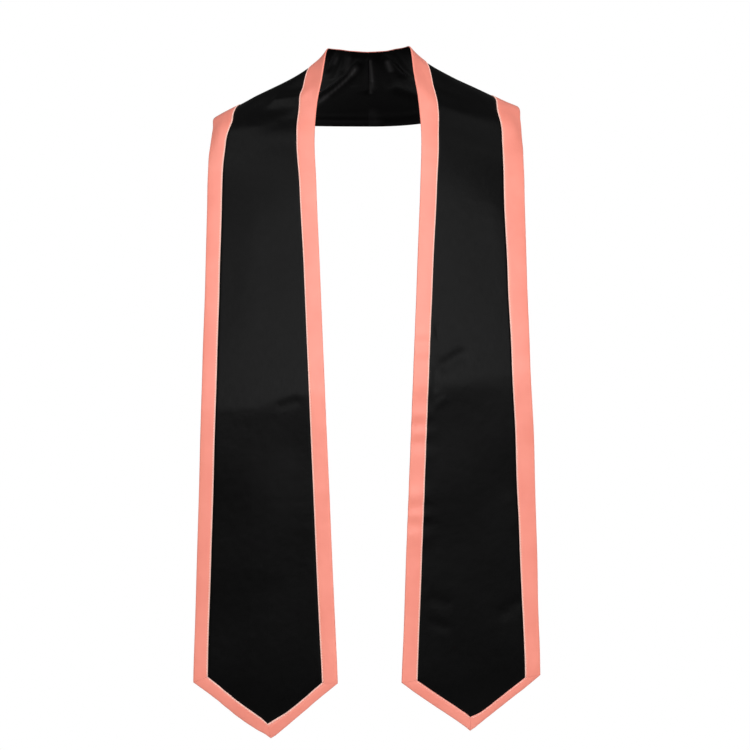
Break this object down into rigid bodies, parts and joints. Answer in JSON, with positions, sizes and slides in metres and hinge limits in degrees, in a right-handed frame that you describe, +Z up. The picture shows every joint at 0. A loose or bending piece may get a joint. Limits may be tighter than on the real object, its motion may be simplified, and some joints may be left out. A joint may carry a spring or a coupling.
{
  "type": "graduation stole",
  "caption": "Black satin graduation stole with coral bands and pointed ends, open over the shoulders as it hangs when it is worn",
  "frame": {"origin": "centre back of the neck edge, on the wearer's side of the lining, where the stole sits on the neck", "axes": "+Z up along the wearer's neck, -Y the front of the stole, +X to the right of someone who looks at the front"},
  "size_m": [0.3379, 0.2278, 0.6761],
  "materials": {
    "black_satin": "smooth black satin, soft sheen",
    "black_lining": "plain black satin lining",
    "coral_satin": "smooth coral satin, soft sheen"
  },
  "bodies": {
    "root": {"left_lining": "black_lining", "left_panel": "black_satin", "left_inner_band": "coral_satin", "left_outer_band": "coral_satin", "left_inner_point_band": "coral_satin", "left_outer_point_band": "coral_satin", "right_lining": "black_lining", "right_panel": "black_satin", "right_inner_band": "coral_satin", "right_outer_band": "coral_satin", "right_inner_point_band": "coral_satin", "right_outer_point_band": "coral_satin"}
  },
  "joints": []
}
